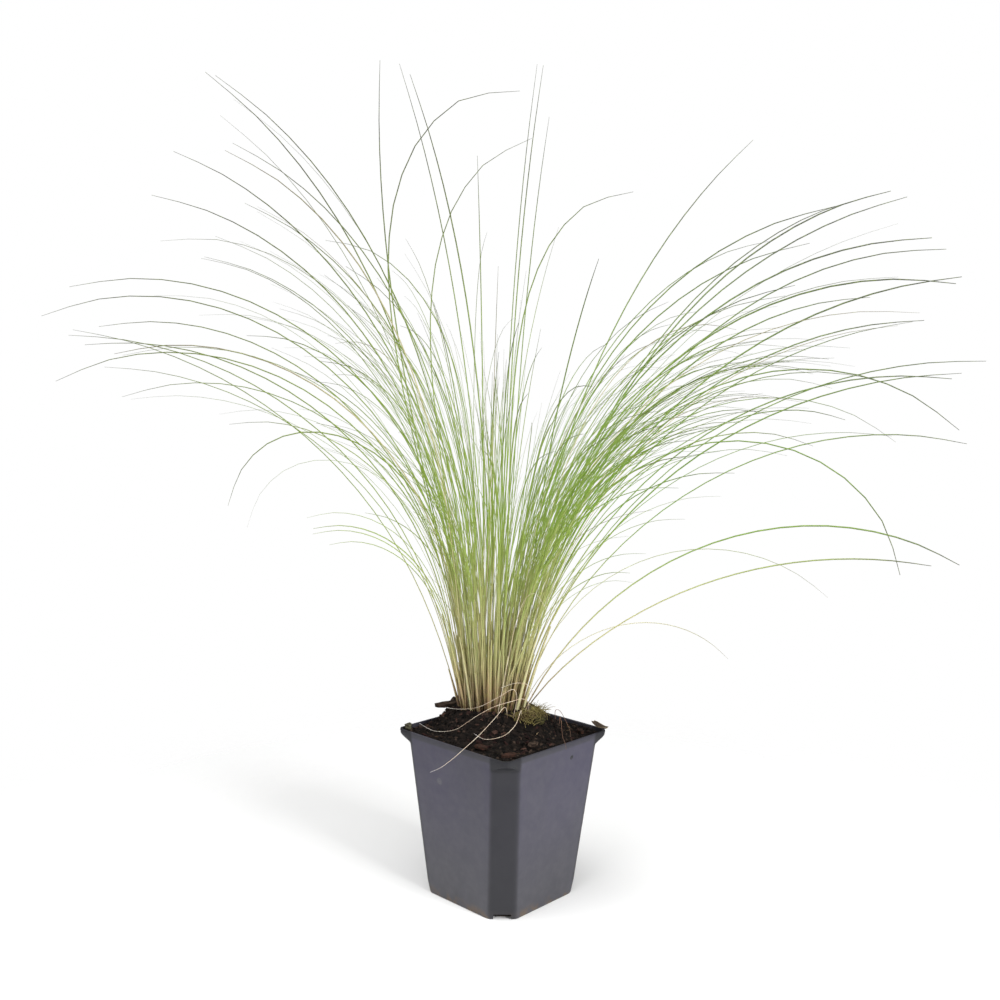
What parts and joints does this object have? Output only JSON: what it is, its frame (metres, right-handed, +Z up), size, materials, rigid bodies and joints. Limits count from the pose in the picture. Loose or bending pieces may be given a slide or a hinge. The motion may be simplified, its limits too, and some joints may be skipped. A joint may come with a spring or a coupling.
{
  "type": "potted mexican feather grass",
  "caption": "Potted mexican feather grass: a tuft of hair-fine arching leaves growing out of dark soil in a small square grey nursery pot with cut corners.",
  "frame": {"origin": "centre of the pot's base, on the plane that the pot stands on", "axes": "+Z up; X and Y run along the pot's sides; the tuft fans out along the pot's diagonal, 44 degrees from +X towards +Y"},
  "size_m": [0.4264, 0.4445, 0.4947],
  "materials": {
    "pot": "satin blue-grey moulded plastic, slightly dusty",
    "soil": "moist dark peat compost",
    "bark": "rough composted bark",
    "moss": "soft moss and short curly blades",
    "dead_leaf": "dry curled brown leaf",
    "leaf_dry": "dry straw",
    "leaf_green": "smooth fine grass leaf, straw at the foot and green above"
  },
  "bodies": {
    "root": {"pot": "pot", "soil": "soil", "bark_1": "bark", "bark_2": "bark", "bark_3": "bark", "bark_4": "bark", "bark_5": "bark", "bark_6": "bark", "bark_7": "bark", "bark_8": "bark", "moss": "moss", "leaf_scrap": "dead_leaf", "dry_leaf_1": "leaf_dry", "dry_leaf_2": "leaf_dry", "dry_leaf_3": "leaf_dry", "dry_leaf_4": "leaf_dry", "dry_leaf_5": "leaf_dry", "dry_leaf_6": "leaf_dry", "dry_leaf_7": "leaf_dry", "dry_leaf_8": "leaf_dry", "grass_left": "leaf_green", "grass_right": "leaf_green"}
  },
  "joints": []
}
